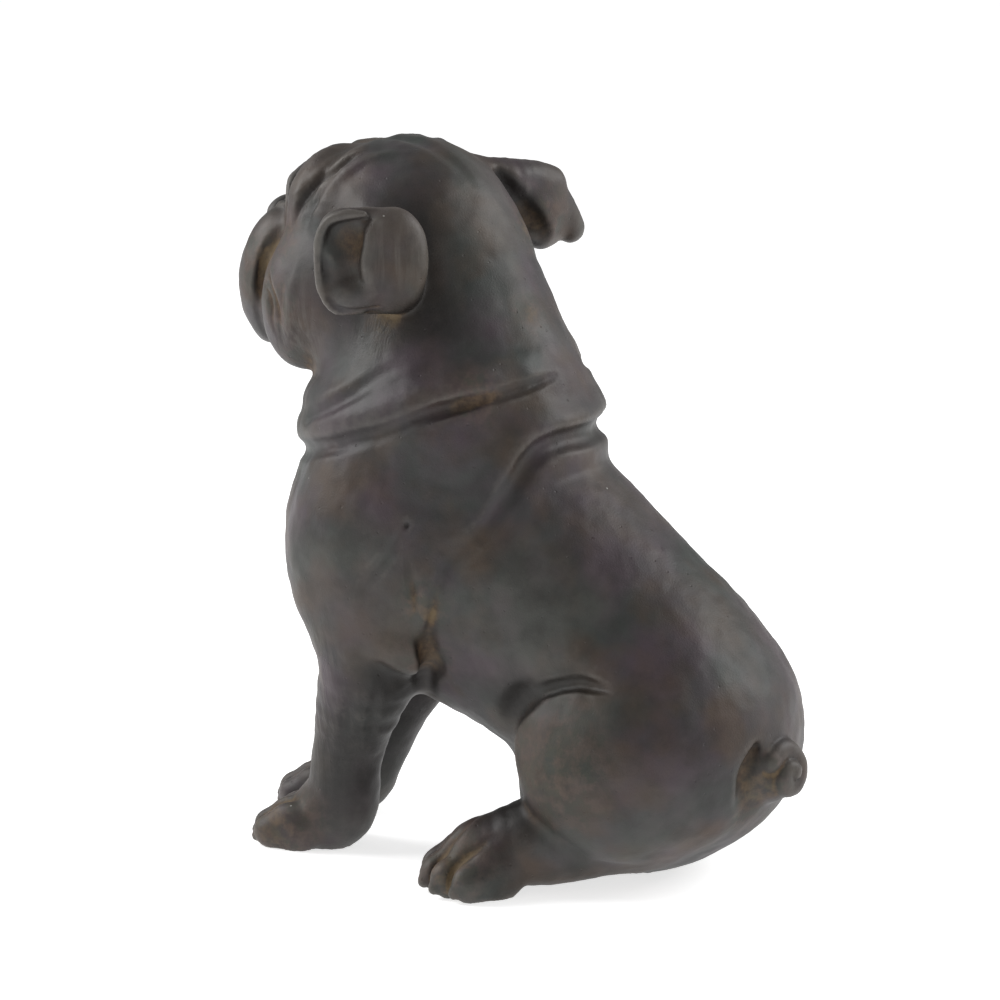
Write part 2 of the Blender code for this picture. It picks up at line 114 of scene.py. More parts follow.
class Roll:
    """A sausage of clay along a smooth line through its points, with a radius at each point."""

    STEPS = 4

    def __init__(self, points, radii, soft=0.02, cut=False):
        self.points = [Vector(p) for p in points]
        self.radii = list(radii)
        self.soft = soft
        self.cut = cut
        self.line = self.smooth_line()

    def moved(self, place, turn):
        return Roll([place + turn @ p for p in self.points], self.radii, self.soft, self.cut)

    def sized(self, unit):
        points = [p * unit for p in self.points]
        return Roll(points, [r * unit for r in self.radii], self.soft * unit, self.cut)

    def smooth_line(self):
        """The points and radii of the smooth line, close enough together to bend well."""
        knots = np.array([[*p, r] for p, r in zip(self.points, self.radii)])
        if len(knots) == 2:
            return knots
        ends = np.vstack([2 * knots[0] - knots[1], knots, 2 * knots[-1] - knots[-2]])
        found = []
        for a, b, c, d in zip(ends, ends[1:], ends[2:], ends[3:]):
            for t in np.linspace(0, 1, self.STEPS, endpoint=False):
                bend = (2 * a - 5 * b + 4 * c - d) * t**2 + (3 * b - a - 3 * c + d) * t**3
                found.append(0.5 * (2 * b + (c - a) * t + bend))
        return np.vstack([found, knots[-1:]])

    def reach(self):
        return (self.line[:, :3] - self.line[:, 3:]).min(0), (self.line[:, :3] + self.line[:, 3:]).max(0)

    def distance(self, points):
        best = np.full(len(points), FAR)
        for start, end in zip(self.line, self.line[1:]):
            run = end[:3] - start[:3]
            along = np.clip((points - start[:3]) @ run / max(run @ run, 1e-12), 0, 1)
            spine = start[:3] + along[:, None] * run
            width = start[3] + along * (end[3] - start[3])
            best = np.minimum(best, np.linalg.norm(points - spine, axis=1) - width)
        return best

# %% [markdown]
# ## Working all the lumps into one
#
# The distance to the whole figure is found lump by lump. Only points near a lump are worked out for it,
# which keeps a skin of a hundred thousand corners quick. Folds have to follow the body, so their lines are
# dropped onto the surface of the lumps that lie beneath them: each point moves along the slope of the
# distance until it lies on the surface, or a set height above it.

# %% The distance to the whole figure
NEAR = 0.04  # a lump is worked out only this far beyond its own size
SLOPE_STEP = 0.0015
DROP_STEPS = 3


def clay(points, lumps):
    """The distance of each point from the surface of all the lumps worked into one."""
    found = np.full(len(points), 1.0)
    for lump in lumps:
        low, high = lump.reach()
        margin = NEAR + lump.soft
        close = np.all((points > low - margin) & (points < high + margin), axis=1)
        if not close.any():
            continue
        near = points[close]
        if lump.cut:
            found[close] = -softly_joined(-found[close], lump.distance(near), lump.soft)
        else:
            found[close] = softly_joined(found[close], lump.distance(near), lump.soft)
    return found


def slope(points, lumps):
    """The direction in which the distance grows fastest."""
    steps = []
    for axis in np.eye(3) * SLOPE_STEP:
        steps.append(clay(points + axis, lumps) - clay(points - axis, lumps))
    way = np.stack(steps, axis=1)
    return way / np.maximum(np.linalg.norm(way, axis=1, keepdims=True), TINY)


def dropped(points, lumps, above=0.0):
    """The points moved onto the lumps, or this far above them, so that a fold follows the body."""
    placed = np.array([list(p) for p in points], float)
    for _ in range(DROP_STEPS):
        gap = clay(placed, lumps) - above
        placed -= gap[:, None] * slope(placed, lumps)
    return [Vector(p) for p in placed]

# %% Furrows and folds
END_LOSS = 0.6
END_POWER = 3


def faded(wide, count):
    """A radius for each of the points of a line, the smallest at its two ends."""
    offs = [abs(2 * step / (count - 1) - 1) for step in range(count)]
    return [wide * (1 - END_LOSS * off ** END_POWER) for off in offs]


def groove(lumps, points, deep, wide=0.012, soft=0.008):
    """A furrow pressed into the lumps along a line of points."""
    radii = np.array(faded(wide, len(points)))
    heights = radii * (1 - deep / wide) + soft * (1 - radii / wide)
    return Roll(dropped(points, lumps, heights), radii, soft, cut=True)


def ridge(lumps, points, proud, wide=0.02, soft=0.02):
    """A fold of skin raised from the lumps along a line of points."""
    radii = np.array(faded(wide, len(points)))
    heights = radii * (proud / wide - 1) - soft * (1 - radii / wide)
    return Roll(dropped(points, lumps, heights), radii, soft)


def turned(x=0, y=0, z=0):
    """A rotation from three angles in degrees."""
    return Euler((math.radians(x), math.radians(y), math.radians(z))).to_matrix()


def mirrored(lump):
    """The same lump on the right side."""
    flip = Matrix.Diagonal((-1, 1, 1))
    if isinstance(lump, Ball):
        return Ball(flip @ lump.centre, lump.radii, flip @ lump.turn @ flip, lump.soft, lump.cut)
    return Roll([flip @ p for p in lump.points], lump.radii, lump.soft, lump.cut)


def both_sides(points):
    """A line that runs from the left side over the middle to the right side."""
    return points + [(-x, y, z) for x, y, z in reversed(points)]

# %% [markdown]
# ## The pose
#
# The puppy faces -Y and its left side is +X. It is drawn in units of its own, with the top of the head just
# under one unit up, so that a length can be read as a share of the height. The seat and the four paws are
# on the floor, and the head is turned a little to the puppy's right.

# %% Sizes of the figure
CROWN = 0.981
HEAD_CENTRE = Vector((-0.04, -0.225, 0.823))
HEAD_TURN = Euler((math.radians(-4), math.radians(4), math.radians(-17)))
STRIDE = 0.052  # the right front paw stands this far ahead of the left one
HIND_SPLAY = 48
EAR_TURN = 50
EAR_PLACE = Vector((0.168, 0.117, 0.032))
TAIL_START, TAIL_TURN, TAIL_STEPS = 40, 450, 14
COIL_OUT, COIL_HEART = 0.029, 0.004
COIL_THICK, COIL_TAPER = 0.0185, 0.005
HOLLOW_OUT, HOLLOW_BACK = 0.067, 0.011
UNIT = cad_box[1].z / CROWN
print("one unit of the figure is", round(UNIT, 4), "m")

# %% [markdown]
# ## Body, legs and tail
#
# A barrel chest runs into a low, wide seat. The forelegs are rolls that lean in towards the paws, and each
# paw is four toes fanned out by a loop. The tail is a true spiral: the angle grows and the radius shrinks
# in one loop.

# %% Torso and legs
def paw(place, heading, size=1.0):
    """Four toes fanned out at the front of a foot."""
    toes = []
    for across, ahead in ((-0.042, 0), (-0.015, 0.014), (0.015, 0.014), (0.042, 0)):
        toes.append(Ball((across, 0.014 - ahead, 0.03), (0.022, 0.04, 0.036), soft=0.011))
        toes.append(Ball((across * 1.05, -0.02 - ahead, 0.022), (0.02, 0.026, 0.024), soft=0.01))
    return [toe.sized(size).moved(Vector(place), turned(z=heading)) for toe in toes]


def torso():
    return [
        Roll([(0, -0.095, 0.465), (0, 0.14, 0.28)], [0.2, 0.178], soft=0.05),
        Ball((0, 0.212, 0.197), (0.21, 0.18, 0.178), soft=0.05),
        Ball((0, 0.15, 0.11), (0.16, 0.145, 0.116), soft=0.04),
        Ball((0, -0.155, 0.43), (0.19, 0.194, 0.2), soft=0.05),
        Ball((0, -0.12, 0.6), (0.185, 0.198, 0.13), soft=0.05),
        Roll([(0, -0.095, 0.62), (-0.03, -0.151, 0.78)], [0.174, 0.144], soft=0.05),
        Ball((0, 0.04, 0.29), (0.15, 0.12, 0.11), soft=0.05),
        Ball((0, -0.06, 0.31), (0.13, 0.12, 0.11), soft=0.04),
    ]


def foreleg(ahead):
    return [
        Ball((0.135, -0.165, 0.43), (0.085, 0.12, 0.16), turned(x=-8), soft=0.04),
        Roll([(0.13, -0.16, 0.36), (0.122, -0.182 - ahead * 0.2, 0.27), (0.1, -0.222 - ahead * 0.5, 0.16),
              (0.092, -0.238 - ahead, 0.07)], [0.078, 0.069, 0.051, 0.05], soft=0.03),
        Ball((0.16, -0.115, 0.318), (0.046, 0.054, 0.04), turned(x=-20), soft=0.016),
        Ball((0.09, -0.26 - ahead, 0.042), (0.054, 0.056, 0.05), soft=0.02),
    ] + paw((0.09, -0.308 - ahead, 0), 0)


def hind_leg():
    return [
        Ball((0.135, 0.2, 0.17), (0.095, 0.14, 0.12), turned(z=25), soft=0.04),
        Roll([(0.09, 0.19, 0.075), (0.155, 0.098, 0.068),
              (0.187, 0.03, 0.053)], [0.056, 0.062, 0.044], soft=0.015),
        Ball((0.193, 0.018, 0.045), (0.053, 0.052, 0.049), turned(z=HIND_SPLAY), soft=0.015),
        Ball((0.155, 0.162, 0.168), (0.078, 0.09, 0.13), turned(x=37), soft=0.006),
    ] + paw((0.205, 0.01, 0), HIND_SPLAY, 1.1)

# %% Tail
def tail():
    """A short tail curled into a button."""
    root, tip = Vector((0.024, 0.335, 0.158)), Vector((0.04, 0.394, 0.164))
    along = (tip - root).normalized()
    across = along.cross(Vector((0, 0, 1))).normalized()
    up = across.cross(along)
    coil, radii = [], []
    for step in range(TAIL_STEPS + 1):
        share = step / TAIL_STEPS
        angle = math.radians(TAIL_START + TAIL_TURN * share)
        out = COIL_OUT * (1 - share) + COIL_HEART
        rise = 0.016 * share - 0.006
        coil.append(tip + across * out * math.cos(angle) + up * out * math.sin(angle) + along * rise)
        radii.append(COIL_THICK - COIL_TAPER * share)
    hollow = []
    for angle in np.linspace(-1.6, 0.7, 7):
        aside = tip - along * HOLLOW_BACK + across * HOLLOW_OUT * math.cos(angle)
        hollow.append(aside + up * HOLLOW_OUT * math.sin(angle))
    return [
        Roll(hollow, faded(0.018, len(hollow)), soft=0.016, cut=True),
        Roll([root, tip - along * 0.03], [0.047, 0.043], soft=0.006),
        Roll(coil, radii, soft=0.0035),
    ]

# %% [markdown]
# ## Head
#
# The head has a frame of its own, so it is modelled facing straight ahead and then turned as one. Half of
# the face is modelled and mirrored. The two ears differ, as on the real casting: the left one is folded
# forward into a shallow cup, and the right one is held out with its tip dropped.

# %% Ears
def left_ear():
    """Folded forward into a shallow cup, in its own frame: x towards the front, y outwards, z up."""
    lumps = [
        Ball((0.006, -0.016, 0.004), (0.056, 0.034, 0.06), soft=0.012),
        Ball((0, -0.004, 0), (0.07, 0.024, 0.074), soft=0.01),
        Ball((0.032, -0.002, 0.034), (0.038, 0.022, 0.038), soft=0.008),
        Ball((-0.026, -0.003, 0.032), (0.036, 0.02, 0.034), soft=0.01),
        Ball((0.028, -0.002, -0.036), (0.038, 0.022, 0.034), soft=0.008),
        Ball((-0.026, -0.002, -0.03), (0.038, 0.022, 0.034), soft=0.008),
        Ball((-0.034, 0, 0.002), (0.044, 0.03, 0.07), soft=0.016),
        Ball((0.033, 0.028, 0.036), (0.032, 0.024, 0.03), soft=0.01, cut=True),
        Roll([(0.034, 0.029, 0.03), (0.025, 0.03, -0.022)], [0.024, 0.015], soft=0.01, cut=True),
        Roll([(-0.01, 0.016, 0.056), (-0.002, 0.025, 0.03), (0, 0.028, 0.0), (-0.006, 0.023, -0.034)],
             [0.006, 0.008, 0.008, 0.007], soft=0.014),
        Ball((0.015, 0.01, -0.044), (0.036, 0.019, 0.022), soft=0.01),
        Roll([(0.005, 0.014, 0.068), (0.03, 0.014, 0.067), (0.055, 0.012, 0.056), (0.066, 0.01, 0.03),
              (0.067, 0.01, -0.01), (0.06, 0.011, -0.045), (0.043, 0.012, -0.064), (0.01, 0.01, -0.066)],
             [0.004, 0.007, 0.007, 0.007, 0.007, 0.007, 0.007, 0.005], soft=0.006),
    ]
    placed = [lump.moved(EAR_PLACE, turned(z=-EAR_TURN)) for lump in lumps]
    return [Roll([(0.10, 0.08, 0.05), (0.145, 0.11, 0.05)], [0.045, 0.035], soft=0.025)] + placed


def right_ear():
    """Held out sideways with its tip dropped."""
    return [
        Roll([(-0.10, 0.08, 0.082), (-0.16, 0.105, 0.085),
              (-0.2, 0.115, 0.075)], [0.04, 0.028, 0.026], soft=0.02),
        Ball((-0.14, 0.095, 0.04), (0.05, 0.03, 0.05), soft=0.02),
        Ball((-0.19, 0.117, 0.035), (0.052, 0.028, 0.052), turned(z=8, y=-15), soft=0.012),
        Roll([(-0.195, 0.115, 0.055), (-0.218, 0.122, 0.035),
              (-0.236, 0.128, 0.006)], [0.026, 0.023, 0.02], soft=0.012),
        Roll([(-0.098, 0.116, 0.1), (-0.113, 0.127, 0.07), (-0.136, 0.134, 0.04),
              (-0.16, 0.144, 0.012)], [0.013, 0.02, 0.02, 0.014], soft=0.012, cut=True),
    ]

# %% Face
def face():
    """The left half of the face, with the folds that start at the middle."""
    return [
        Ball((0.085, -0.02, -0.05), (0.08, 0.11, 0.1), soft=0.04),
        Ball((0.068, -0.13, -0.05), (0.062, 0.07, 0.1), turned(y=-8), soft=0.012),
        Ball((0.112, -0.06, -0.075), (0.05, 0.06, 0.085), soft=0.012),
    ]


def eye(form):
    """The left eye, set into the face between its lids."""
    place = [(0.062, -0.15, 0.078)]
    socket, ball = dropped(place, form, 0.004)[0], dropped(place, form, -0.019)[0]
    upper = [(0.036, -0.15, 0.071), (0.047, -0.15, 0.093), (0.073, -0.145, 0.096), (0.096, -0.125, 0.076)]
    lower = [(0.038, -0.15, 0.066), (0.062, -0.152, 0.058), (0.09, -0.135, 0.064)]
    return [
        Ball(socket, (0.026, 0.018, 0.019), soft=0.006, cut=True),
        Ball(ball, (0.0185, 0.0185, 0.0185), soft=0.002),
        ridge(form, upper, 0.005, 0.008, 0.006),
        ridge(form, lower, 0.004, 0.006, 0.005),
    ]

# %% The whole head
def head():
    middle = [
        Ball((0, 0.04, 0.039), (0.135, 0.14, 0.122), soft=0.04),
        Ball((0, -0.058, 0.05), (0.11, 0.085, 0.088), soft=0.03),
        Ball((0, -0.12, -0.05), (0.085, 0.075, 0.075), soft=0.02),
        Ball((0, -0.125, -0.13), (0.062, 0.06, 0.038), soft=0.012),
    ]
    form = middle + face() + [mirrored(lump) for lump in face()]
    pair = [
        ridge(form, [(0.012, -0.07, 0.13), (0.06, -0.07, 0.115), (0.1, -0.067, 0.083),
                     (0.12, -0.053, 0.04)], 0.01),
        ridge(form, [(0.015, 0, 0.15), (0.075, -0.005, 0.129), (0.115, -0.015, 0.085),
                     (0.135, -0.01, 0.04)], 0.008),
        ridge(form, [(0.014, -0.11, 0.108), (0.06, -0.11, 0.102), (0.1, -0.095, 0.075),
                     (0.118, -0.085, 0.035)], 0.005),
        groove(form, [(0.13, -0.06, 0.05), (0.105, -0.05, 0.095), (0.096, -0.015, 0.126),
                      (0.07, 0.01, 0.146)], 0.004, 0.01),
        groove(form, [(0.12, -0.1, 0.03), (0.1, -0.1, 0.074), (0.06, -0.1, 0.1),
                      (0.02, -0.1, 0.11)], 0.004, 0.01),
        groove(form, [(0.1, -0.1, 0.06), (0.11, -0.112, 0.01), (0.121, -0.12, -0.02), (0.132, -0.12, -0.07),
                      (0.119, -0.12, -0.125)], 0.009, 0.011, 0.01),
        groove(form, [(0.138, -0.09, -0.02), (0.16, -0.062, -0.069), (0.155, -0.055, -0.111)], 0.005, 0.01),
        groove(form, [(0, -0.19, -0.1), (0.035, -0.18, -0.115), (0.075, -0.16, -0.14),
                      (0.1, -0.12, -0.15)], 0.012),
    ]
    pair += [mirrored(lump) for lump in pair]
    centre = [
        Ball((0, -0.158, 0.008), (0.066, 0.034, 0.036), soft=0.014),
        Ball((0, -0.188, 0.018), (0.042, 0.022, 0.028), soft=0.006),
        Ball((0.018, -0.212, 0.014), (0.009, 0.014, 0.007), turned(y=-25), soft=0.004, cut=True),
        Ball((-0.018, -0.212, 0.014), (0.009, 0.014, 0.007), turned(y=25), soft=0.004, cut=True),
        Roll([(-0.08, -0.132, 0.012), (-0.045, -0.15, 0.033), (0, -0.157, 0.043), (0.045, -0.15, 0.033),
              (0.08, -0.132, 0.012)], [0.01, 0.014, 0.016, 0.014, 0.01], soft=0.012),
        groove(form, [(0, -0.14, 0.06), (0, -0.12, 0.09), (0, -0.08, 0.12), (0, 0, 0.15), (0, 0.08, 0.15),
                      (0, 0.13, 0.1)], 0.005, 0.016, 0.012),
        groove(form, [(0, -0.2, -0.01), (0, -0.2, -0.04), (0, -0.195, -0.07),
                      (0, -0.19, -0.1)], 0.006, 0.009, 0.006),
    ]
    left = eye(form + pair + centre)
    eyes = left + [mirrored(lump) for lump in left]
    lumps = form + pair + centre + eyes + left_ear() + right_ear()
    return [lump.moved(HEAD_CENTRE, HEAD_TURN.to_matrix()) for lump in lumps]

# %% [markdown]
# ## Loose skin
#
# A bulldog wears a coat one size too large. The folds run round the neck and over the shoulders, and each
# is a roll laid half into the body, or a furrow pressed into it.

# %% Folds of the body
def body_folds(form):
    """The loose skin of the neck and shoulders, which runs round the body."""
    neck = [(0.052, 0.062, 0.68), (0.075, 0.054, 0.676), (0.1, 0.036, 0.668), (0.137, 0.003, 0.658),
            (0.178, -0.068, 0.636), (0.187, -0.11, 0.616), (0.178, -0.184, 0.59), (0.133, -0.264, 0.567),
            (0.08, -0.31, 0.555), (0.02, -0.335, 0.55)]
    collar = [(0.056, 0.048, 0.712), (0.085, 0.034, 0.704), (0.11, 0.018, 0.7), (0.14, -0.006, 0.692),
              (0.17, -0.05, 0.672), (0.187, -0.107, 0.65), (0.178, -0.18, 0.622), (0.135, -0.25, 0.595),
              (0.08, -0.29, 0.588), (0.02, -0.315, 0.583)]
    throat = [(0.178, -0.14, 0.69), (0.172, -0.18, 0.667), (0.14, -0.235, 0.64), (0.08, -0.275, 0.63),
              (0.02, -0.292, 0.625)]
    crease = [(0.183, -0.12, 0.71), (0.182, -0.15, 0.69), (0.177, -0.19, 0.66), (0.16, -0.225, 0.635),
              (0.13, -0.26, 0.61)]
    withers = [(0.19, -0.03, 0.43), (0.183, -0.012, 0.452), (0.18, 0.013, 0.496), (0.163, 0.027, 0.535),
               (0.146, 0.041, 0.573), (0.125, 0.061, 0.602), (0.098, 0.079, 0.619), (0.04, 0.097, 0.616)]
    second = [(0.145, 0.055, 0.522), (0.12, 0.066, 0.55), (0.094, 0.08, 0.571), (0.056, 0.097, 0.579),
              (0.02, 0.103, 0.579)]
    between = [(0.182, 0.014, 0.483), (0.157, 0.032, 0.521), (0.132, 0.046, 0.555), (0.116, 0.057, 0.58),
               (0.084, 0.075, 0.596), (0.027, 0.092, 0.597)]
    creases = []
    for side in (1, -1):
        creases.append(groove(form, [(side * x, y, z) for x, y, z in crease], 0.004, 0.012, 0.012))
        creases.append(groove(form, [(side * x, y, z) for x, y, z in neck[:6]], 0.007, 0.008, 0.006))
    return [
        ridge(form, both_sides(withers), 0.008, 0.026, 0.022),
        ridge(form, both_sides(second), 0.008, 0.022, 0.018),
        ridge(form, both_sides(throat), 0.003, 0.022, 0.016),
        ridge(form, both_sides(collar), 0.007, 0.023, 0.018),
        groove(form, both_sides(between), 0.007, 0.014, 0.014),
        groove(form, both_sides(neck), 0.006, 0.011, 0.01),
    ] + creases


def side_folds(form):
    """The creases of the left elbow and haunch."""
    pocket = [(0.1, -0.1, 0.235), (0.14, -0.09, 0.268), (0.163, -0.08, 0.3), (0.182, -0.073, 0.345)]
    elbow = [(0.15, -0.085, 0.29), (0.175, -0.075, 0.322), (0.191, -0.062, 0.375), (0.197, -0.05, 0.41)]
    shoulder = [(0.197, -0.05, 0.41), (0.199, -0.038, 0.428), (0.194, -0.018, 0.455), (0.182, 0.012, 0.487)]
    under = [(0.207, -0.165, 0.262), (0.193, -0.138, 0.284), (0.176, -0.122, 0.275), (0.15, -0.105, 0.268)]
    flap = [(0.176, -0.083, 0.34), (0.19, -0.068, 0.37), (0.196, -0.056, 0.41), (0.2, -0.04, 0.45)]
    haunch = [(0.168, 0.062, 0.24), (0.18, 0.09, 0.272), (0.19, 0.121, 0.29), (0.195, 0.156, 0.301),
              (0.2, 0.185, 0.301), (0.2, 0.205, 0.297)]
    hollow = [(0.16, 0.04, 0.22), (0.168, 0.058, 0.248), (0.176, 0.08, 0.27), (0.183, 0.1, 0.285)]
    flank = [(0.15, 0.09, 0.32), (0.18, 0.14, 0.335), (0.19, 0.19, 0.332), (0.19, 0.24, 0.312)]
    return [
        groove(form, pocket, 0.014, 0.015, 0.01),
        groove(form, elbow, 0.008, 0.01, 0.012),
        groove(form, shoulder, 0.004, 0.014, 0.016),
        groove(form, under, 0.004, 0.014, 0.018),
        ridge(form, flap, 0.004, 0.011, 0.01),
        ridge(form, flank, 0.004, 0.02, 0.02),
        groove(form, hollow, 0.011, 0.018, 0.016),
        groove(form, haunch, 0.01, 0.01, 0.006),
    ]


def all_lumps():
    """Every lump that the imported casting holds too."""
    left = foreleg(0) + hind_leg()
    right = [mirrored(lump) for lump in foreleg(STRIDE) + hind_leg()]
    form = torso() + left + right
    sides = side_folds(form)
    whole = form + tail() + head()
    return whole + body_folds(whole) + sides + [mirrored(lump) for lump in sides]

# %% [markdown]
# ## What only a finer skin can hold
#
# Some forms are a few millimetres wide: the second and third folds of the flews, the wrinkles of the
# forehead, the muscle lines of the upper arm and forearm, the furrows between the toes, an old chip. They
# are the same two tools again, a furrow and a fold, with small radii, and each is laid on the forms that
# are already there.

# %% Wrinkles of the face
def face_lines(form):
    """Furrows and folds of the left half of the face, in the head's own frame."""
    flew = [(0.112, -0.125, 0.01), (0.118, -0.128, -0.021), (0.126, -0.128, -0.059), (0.14, -0.11, -0.091)]
    fold = [(0.141, -0.1, -0.03), (0.151, -0.077, -0.045), (0.158, -0.065, -0.07), (0.157, -0.057, -0.097)]
    second = [(0.145, -0.095, -0.04), (0.157, -0.078, -0.058), (0.161, -0.071, -0.087),
              (0.157, -0.064, -0.109)]
    cheek = [(0.15, -0.03, 0.02), (0.155, -0.03, -0.03), (0.158, -0.035, -0.07), (0.15, -0.045, -0.11)]
    brow = [(0.127, -0.069, 0.042), (0.11, -0.062, 0.076), (0.088, -0.048, 0.114), (0.049, -0.034, 0.137)]
    temple = [(0.135, -0.038, 0.036), (0.124, -0.026, 0.078), (0.108, -0.007, 0.115), (0.081, 0.014, 0.139)]
    crown = [(0.121, -0.018, 0.092), (0.097, 0.01, 0.127), (0.065, 0.036, 0.146), (0.043, 0.07, 0.152)]
    filled = [(0.12, -0.118, -0.015), (0.131, -0.12, -0.06), (0.126, -0.12, -0.1), (0.115, -0.118, -0.13)]
    return [
        ridge(form, filled, 0.006, 0.012, 0.008),
        ridge(form, fold, 0.003, 0.008, 0.004),
        groove(form, second, 0.003, 0.005, 0.004),
        groove(form, flew, 0.004, 0.006, 0.005),
        ridge(form, cheek, 0.002, 0.01, 0.01),
        ridge(form, brow, 0.004, 0.009, 0.006),
        groove(form, temple, 0.004, 0.007, 0.006),
        ridge(form, crown, 0.003, 0.01, 0.008),
    ]

# %% Lines of the legs and toes
def leg_lines(form):
    """Muscle lines of the left foreleg and the folds beside the elbow."""
    arm = [(0.208, -0.084, 0.493), (0.219, -0.112, 0.445), (0.221, -0.137, 0.413), (0.219, -0.15, 0.366)]
    inner = [(0.211, -0.082, 0.457), (0.208, -0.078, 0.419), (0.199, -0.074, 0.374)]
    front = [(0.189, -0.176, 0.253), (0.17, -0.193, 0.205), (0.151, -0.21, 0.155)]
    tendon = [(0.178, -0.144, 0.254), (0.159, -0.159, 0.205), (0.135, -0.17, 0.15)]
    return [
        groove(form, arm, 0.003, 0.007, 0.008),
        groove(form, inner, 0.003, 0.006, 0.006),
        groove(form, front, 0.003, 0.008, 0.01),
        groove(form, tendon, 0.004, 0.008, 0.008),
    ]


def toe_lines(form, place, heading, size=1.0):
    """The furrows between the toes of one paw, and a short blunt nail at the tip of each toe."""
    turn = turned(z=heading)
    found = []
    for across in (-0.029, 0, 0.029):
        line = [(across * 0.9, 0.03, 0.066), (across, 0, 0.058), (across, -0.03, 0.04),
                (across * 1.1, -0.045, 0.016)]
        line = [turn @ (Vector(point) * size) + Vector(place) for point in line]
        found.append(groove(form, line, 0.003, 0.006, 0.006))
    for across, ahead in ((-0.044, 0.044), (-0.016, 0.058), (0.016, 0.058), (0.044, 0.044)):
        nail = Ball((across, -ahead, 0.013), (0.0075, 0.006, 0.0075), soft=0.005)
        found.append(nail.sized(size).moved(Vector(place), turn))
    return found

# %% All the finer lumps
CHIP = (0.208, -0.084, 0.493)


def ear_line():
    """The slit below the pad of the left ear, in the ear's own frame."""
    points = [(0.055, 0.02, -0.045), (0.043, 0.022, -0.06), (0.018, 0.023, -0.063), (-0.012, 0.02, -0.058)]
    return Roll(points, [0.003, 0.004, 0.004, 0.003], soft=0.003, cut=True)


def fine_lumps(form):
    turn = HEAD_TURN.to_matrix()
    skull = [lump.moved(-(turn.transposed() @ HEAD_CENTRE), turn.transposed()) for lump in form]
    lines = face_lines(skull)
    lines += [mirrored(line) for line in lines]
    lines.append(ear_line().moved(EAR_PLACE, turned(z=-EAR_TURN)))
    found = [line.moved(HEAD_CENTRE, turn) for line in lines]
    hind = toe_lines(form, (0.205, 0.01, 0), HIND_SPLAY, 1.1)
    legs = leg_lines(form) + hind
    found += legs + [mirrored(lump) for lump in legs]
    found += toe_lines(form, (0.09, -0.308, 0), 0) + toe_lines(form, (-0.09, -0.308 - STRIDE, 0), 0)
    found.append(Ball(CHIP, (0.006, 0.003, 0.004), soft=0.006, cut=True))
    return found

# %% [markdown]
# ## A fine skin
#
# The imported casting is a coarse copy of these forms, about nine thousand triangles. Its own skin is the
# best start for the fine one: it is voxel-remeshed, which spreads even small squares over it, and each
# corner then slides along the slope onto the surface of the clay. Sculpting with a Multiresolution modifier
# would do the same by hand. The lumps are drawn about the puppy's own middle and the casting stands in the
# middle of its box, so the small move between the two is measured first.

# %% Lay the lumps over the casting
def rows(items, name):
    """Three numbers of each item as an array."""
    values = np.empty(len(items) * 3)
    items.foreach_get(name, values)
    return values.reshape(-1, 3)


def corners(mesh):
    return rows(mesh.vertices, "co")


EVERY = 7  # one corner in this many is enough to find the move
drawn = all_lumps()
lumps = [lump.sized(UNIT) for lump in drawn]
sample = corners(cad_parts["bulldog"].data)[::EVERY]
shift = Vector(np.linalg.lstsq(slope(sample, lumps), clay(sample, lumps), rcond=None)[0])
lumps += [lump.sized(UNIT) for lump in fine_lumps(drawn)]
lumps = [lump.moved(shift, Matrix.Identity(3)) for lump in lumps]
print(len(lumps), "lumps, moved by", [round(x * 1000, 2) for x in shift], "mm")

# %% Remesh and settle
COARSE = 0.003
FINE = 0.0017
MERGE = 0.00001
LONGEST_STEP = 0.002
SOLE_SLACK = 0.0007


def linked(name, data):
    """A new object in the scene."""
    thing = bpy.data.objects.new(name, data)
    bpy.context.scene.collection.objects.link(thing)
    return thing


def reworked(mesh, kind, inputs=None, **settings):
    """The plain mesh after one modifier. The inputs are those of a node tree."""
    holder = linked("holder", mesh)
    modifier = holder.modifiers.new(kind.title(), kind)
    for name, value in settings.items():
        setattr(modifier, name, value)
    for name, value in (inputs or {}).items():
        modifier[modifier.node_group.interface.items_tree[name].identifier] = value
    result = bpy.data.meshes.new_from_object(holder.evaluated_get(bpy.context.evaluated_depsgraph_get()))
    holder.modifiers.remove(modifier)
    bpy.data.objects.remove(holder)
    return result


def put_corners(mesh, points):
    mesh.vertices.foreach_set("co", points.ravel())
    mesh.update()


def corner_normals(mesh):
    return rows(mesh.vertex_normals, "vector")


def settled(mesh, lumps, rounds):
    """Moves the corners of a mesh onto the clay, each along its own normal."""
    for _ in range(rounds):
        points = corners(mesh)
        gap = clay(points, lumps)
        points -= np.clip(gap, -LONGEST_STEP, LONGEST_STEP)[:, None] * corner_normals(mesh)
        points[:, 2] = np.where(points[:, 2] < SOLE_SLACK, 0, points[:, 2])
        put_corners(mesh, points)
    return mesh


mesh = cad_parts["bulldog"].data.copy()
mesh = reworked(mesh, "WELD", merge_threshold=MERGE)
mesh = settled(reworked(mesh, "REMESH", mode="VOXEL", voxel_size=COARSE), lumps, 3)
mesh = settled(reworked(mesh, "REMESH", mode="VOXEL", voxel_size=FINE), lumps, 3)
print("the fine skin has", len(mesh.vertices), "corners")

# %% [markdown]
# ## Painted shade, dirt and wear
#
# Years outside leave brown dirt in the creases and rub the ridges pale. The creases and sheltered places
# are also painted darker in the colour, as painted shade where shade falls. Cycles has an Ambient Occlusion
# node
# and a Pointiness output, but neither survives an export. A smoothed copy of the skin gives both for
# nothing:
# over a crease it lies outside the skin, and under a ridge inside it. A few rounds of smoothing find the
# fine lines and many rounds find the broad hollows. Sheltered places, such as behind a leg, are where a
# wide step out of the surface comes near another one. The shares are stored on the corners as attributes
# that the material reads.

# %% Creases and ridges
WIDE_STEP = 0.03
FINE_ROUNDS, BROAD_ROUNDS = 12, 90
FINE_DEPTH, BROAD_DEPTH = 0.0007, 0.0032


